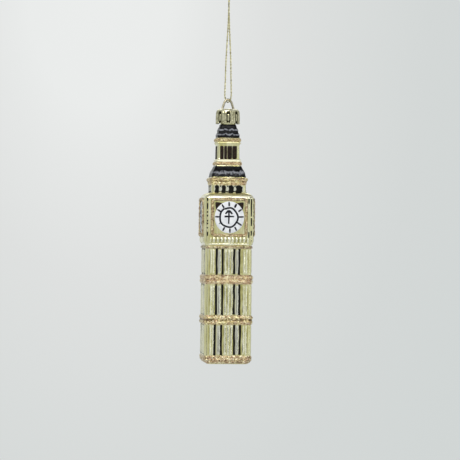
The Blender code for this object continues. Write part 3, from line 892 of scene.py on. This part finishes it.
def cut_slot(cap):
    """Cut the wire's slot through the cap's top."""
    bm = bmesh.new()
    bmesh.ops.create_cube(bm, size=1.0)
    bmesh.ops.scale(bm, vec=Vector(CAP_SLOT) * MM, verts=bm.verts)
    bmesh.ops.translate(bm, vec=Vector(place(0, 0, SLOT_MIDDLE)), verts=bm.verts)
    mesh = bpy.data.meshes.new("slot_cutter")
    bm.to_mesh(mesh)
    bm.free()
    cutter = bpy.data.objects.new("slot_cutter", mesh)
    bpy.context.scene.collection.objects.link(cutter)
    cut = cap.modifiers.new("slot", "BOOLEAN")
    cut.object, cut.operation, cut.solver = cutter, "DIFFERENCE", "EXACT"
    bpy.context.view_layer.update()
    cut_mesh = bpy.data.meshes.new_from_object(cap.evaluated_get(bpy.context.evaluated_depsgraph_get()))
    cap.modifiers.clear()
    cap.data = cut_mesh
    bpy.data.objects.remove(cutter)


def make_cap(material, shade, rim):
    """The pressed cap: shade is painted shade for the lines of its ovals and rim a painted highlight for
    its turned edge.
    """
    low, top, ceiling = CAP_OUTSIDE[0][0], CAP_OUTSIDE[-1][0], CAP_INSIDE[-1][0]
    rows = [cap_row(CAP_MIDDLE, ceiling)]
    rows += [cap_row(radius, height) for height, radius in CAP_INSIDE[::-1]]
    for height in np.concatenate([np.linspace(low, 141.2, 46), np.linspace(141.3, top, 8)]):
        rows.append(cap_row(np.interp(height, *zip(*CAP_OUTSIDE)), height, pressed=True))
    rows.append(cap_row(CAP_MIDDLE, top))
    verts, faces = closed_loft(rows)
    cap = piece("crown_pressed", to_metres(verts), faces, material, "crown",
                replaces=("cap_crown",))
    cut_slot(cap)
    cap.data.materials.append(shade)
    cap.data.materials.append(rim)
    # painted shade along the ovals' pressed lines, and a painted highlight on the turned edge
    for face in cap.data.polygons:
        x, y, z = face.center / MM
        radius, height = math.hypot(x, y), z + HANG_HEIGHT
        if radius > 5.9 and abs(oval_share(math.atan2(x, -y), height) - 1.0) < 0.3:
            face.material_index = 1
        elif radius > 4.0 and height > RIM_HEIGHT:
            face.material_index = 2


def make_wire(material):
    half = [(x, 0.0, h) for x, h in WIRE_ROUTE]
    route = smooth_route(half + [(-x, y, h) for x, y, h in half[-2::-1]], 0.4)
    verts, faces = twisted(route, strands=1, offset=0.0, radius=WIRE_RADIUS, pitch=10.0, sides=16)
    piece("wire_bent", to_metres(verts), faces, material, "hanger",
          replaces=("hanger_wire",))


def make_knot(material):
    """Two strands tied in a trefoil side by side, and the cord's two cut tails."""
    strands = []
    for side in (-0.42, 0.42):
        points = []
        for step in range(KNOT_STEPS + 1):
            t = 2 * math.pi * step / KNOT_STEPS
            points.append(((math.sin(t) + 2 * math.sin(2 * t)) * 0.36 + side * 0.3,
                           -math.sin(3 * t) * 0.42 + side * 0.6,
                           KNOT_CENTRE + (math.cos(t) - 2 * math.cos(2 * t)) * 0.4 + side * 0.2))
        strands.append(twisted(points, strands=3, offset=0.23, radius=0.2, pitch=2.6, sides=6))
    for start, end in KNOT_TAILS:
        bent = tuple((a + b) / 2 + 0.1 for a, b in zip(start, end))
        tail = smooth_route([start, bent, end], 0.25)
        strands.append(twisted(tail, strands=3, offset=0.24, radius=0.2, pitch=3.0, sides=6))
    verts, faces = joined(strands)
    return piece("cord_knot_tied", to_metres(verts), faces, material, "cord",
                 replaces=("cord_knot",))


def make_cord(material):
    route = smooth_route(list(CORD_ROUTE) + [(-x, -y, h) for x, y, h in CORD_ROUTE[-2::-1]], 0.25)
    verts, faces = twisted(route, strands=2, offset=0.25, radius=0.21, pitch=3.4, sides=10)
    cord = piece("cord_twisted", to_metres(verts), faces, material, "cord",
                 replaces=("hanging_cord",))
    knot = make_knot(material)


# ---- studio ----------------------------------------------------------------------------------

TOWER_MIDDLE = (0, 0, -0.13)
PAPER = (0.655, 0.685, 0.678)
GLOW_SQUASH = 0.6  # the backdrop's glow reaches further up and down than across


def paper_material(name, glow_at=None):
    """Pale paper that gives off its own even light; glow_at adds a painted pool of light round a point of
    its own plane.
    """
    made = bpy.data.materials.new(name)
    made.use_nodes = True
    tree = made.node_tree
    tree.nodes.clear()
    light_out = node(tree, "ShaderNodeEmission", Strength=1.0)
    light_out.inputs["Color"].default_value = (*PAPER, 1)
    if glow_at:
        # a painted pool of light on the backdrop, brightest at glow_at
        shift = node(tree, "ShaderNodeMapping")
        shift.inputs["Location"].default_value = (-glow_at[0], -GLOW_SQUASH * glow_at[1], 0)
        shift.inputs["Scale"].default_value = (1, GLOW_SQUASH, 1)
        tree.links.new(tree.nodes.new("ShaderNodeTexCoord").outputs["Object"], shift.inputs["Vector"])
        length = node(tree, "ShaderNodeVectorMath", operation="LENGTH")
        tree.links.new(shift.outputs[0], length.inputs[0])
        tree.links.new(ramp(tree, length.outputs["Value"], (
            (0.0, (0.832, 0.847, 0.839)), (0.09, (0.823, 0.839, 0.831)), (0.14, (0.784, 0.799, 0.791)),
            (0.22, (0.734, 0.749, 0.742)), (0.33, (0.690, 0.714, 0.706)), (0.42, (0.658, 0.686, 0.679)),
            (0.55, (0.640, 0.674, 0.667)))), light_out.inputs["Color"])
    tree.links.new(light_out.outputs[0], tree.nodes.new("ShaderNodeOutputMaterial").inputs["Surface"])
    return made


def panel(name, size, location, aim, material):
    """A flat rectangle at location that faces aim."""
    mesh = bpy.data.meshes.new(name)
    x, y = size[0] / 2, size[1] / 2
    mesh.from_pydata([(-x, -y, 0), (x, -y, 0), (x, y, 0), (-x, y, 0)], [], [(0, 1, 2, 3)])
    mesh.materials.append(material)
    made = bpy.data.objects.new(name, mesh)
    made.location = location
    made.rotation_euler = (Vector(aim) - Vector(location)).to_track_quat("Z", "Y").to_euler()
    bpy.context.scene.collection.objects.link(made)
    return made


def light(name, size, location, energy, colour=(1, 1, 1)):
    made = bpy.data.objects.new(name, bpy.data.lights.new(name, "AREA"))
    made.data.shape, made.data.size, made.data.size_y = "RECTANGLE", size[0], size[1]
    made.data.energy, made.data.color = energy, colour
    made.location = location
    aim = Vector(TOWER_MIDDLE) - Vector(location)
    made.rotation_euler = aim.to_track_quat("-Z", "Y").to_euler()
    bpy.context.scene.collection.objects.link(made)


def make_studio():
    bpy.context.scene.view_settings.view_transform = "Standard"
    world = bpy.data.worlds.new("studio")
    bpy.context.scene.world = world
    world.use_nodes = True
    tree = world.node_tree
    height = tree.nodes.new("ShaderNodeSeparateXYZ")
    tree.links.new(tree.nodes.new("ShaderNodeTexCoord").outputs["Generated"], height.inputs[0])
    sky = ramp(tree, height.outputs["Z"], ((0.45, PAPER), (0.85, (0.10, 0.105, 0.11))))
    tree.links.new(sky, tree.nodes["Background"].inputs[0])
    tree.nodes["Background"].inputs[1].default_value = 1.0
    panel("floor", (40, 40), (0, 0, -0.75), (0, 0, 2), paper_material("floor_paper"))
    wall = panel("backdrop", (2.6, 2.6), (0.24, 1.6, -0.13), (0.24, 0, -0.13),
                 paper_material("wall_paper", (-0.23, 0.30)))
    wall.visible_glossy = False
    dark = bpy.data.materials.new("card_black")
    dark.use_nodes = True
    dark.node_tree.nodes["Principled BSDF"].inputs["Base Color"].default_value = (0.02, 0.02, 0.02, 1)
    for name, location, size in (("card_left", (-0.55, -0.5, -0.1), (0.14, 0.9)),
                                 ("card_right", (0.62, -0.42, -0.1), (0.16, 0.9)),
                                 ("card_rear", (0.3, 0.7, -0.1), (0.2, 0.9))):
        card = panel(name, size, location, (0, 0, -0.12), dark)
        card.visible_camera = False
    light("key", (0.8, 0.55), (-0.25, -0.80, 0.45), 6.5, (1.0, 0.99, 0.97))
    light("fill", (0.6, 0.9), (0.9, -0.6, 0.1), 1.6, (0.95, 0.98, 1.0))
    light("rear", (0.6, 0.6), (0.1, 0.9, 0.5), 3.0)


aim_camera()
make_cord(metal_material("cord_thread", (0.22, 0.19, 0.07), (0.92, 0.86, 0.52), 0.36, 0.9))
rose = glitter_material("glitter_rose", (0.18, 0.11, 0.06), (0.56, 0.42, 0.27), (0.88, 0.75, 0.50))
dusky = glitter_material("glitter_dusky", (0.08, 0.06, 0.04), (0.30, 0.25, 0.17), (0.62, 0.56, 0.40))
foot = glitter_material("glitter_foot", (0.10, 0.07, 0.04), (0.42, 0.32, 0.19), (0.76, 0.64, 0.42))
framing = glitter_material("glitter_frame", (0.12, 0.08, 0.04), (0.46, 0.36, 0.22), (0.84, 0.74, 0.48))
champagne = glitter_material(
    "glitter_champagne", (0.16, 0.10, 0.04), (0.54, 0.44, 0.25), (0.88, 0.80, 0.50))
matt = paint_material("paint_black", (0.003, 0.003, 0.002), (0.010, 0.009, 0.006), 0.45, 1.5, 0.0)
white = paint_material("enamel_white", (0.70, 0.71, 0.75), (0.84, 0.84, 0.86), 0.3, 2.5, 0.3)
ink = paint_material("ink", (0.006, 0.006, 0.010), (0.02, 0.02, 0.028), 0.4, 0.8, 0.0)
brown = paint_material("enamel_brown", (0.004, 0.003, 0.002), (0.036, 0.018, 0.010), 0.35, 0.9, 0.0)
ring_glitters = {
    "glitter_base": foot, "glitter_band_high": rose, "glitter_lantern_sill": rose, "glitter_cornice": dusky,
}
make_glass(glass_material())
make_rings(ring_glitters, champagne)
make_coats(roof_material())
make_paint(low_gloss(matt, 0.12), low_gloss(brown, 0.15))
make_dials(white, low_gloss(ink, 0.15), framing, brown)
# the cap's second material is painted shade for the ovals' lines, its third a painted highlight for its top
# edge
make_cap(metal_material("cap_plate", (0.34, 0.315, 0.19), (0.66, 0.625, 0.42), 0.2, 1.6),
         metal_material("cap_groove_shade", (0.015, 0.013, 0.005), (0.05, 0.045, 0.02), 0.45, 0.5),
         metal_material("cap_rim_highlight", (0.80, 0.76, 0.54), (1.0, 0.97, 0.78), 0.5, 1.6))
make_wire(metal_material("wire_plate", (0.30, 0.26, 0.17), (0.62, 0.56, 0.42), 0.28, 0.8))
make_studio()

bpy.context.view_layer.update()
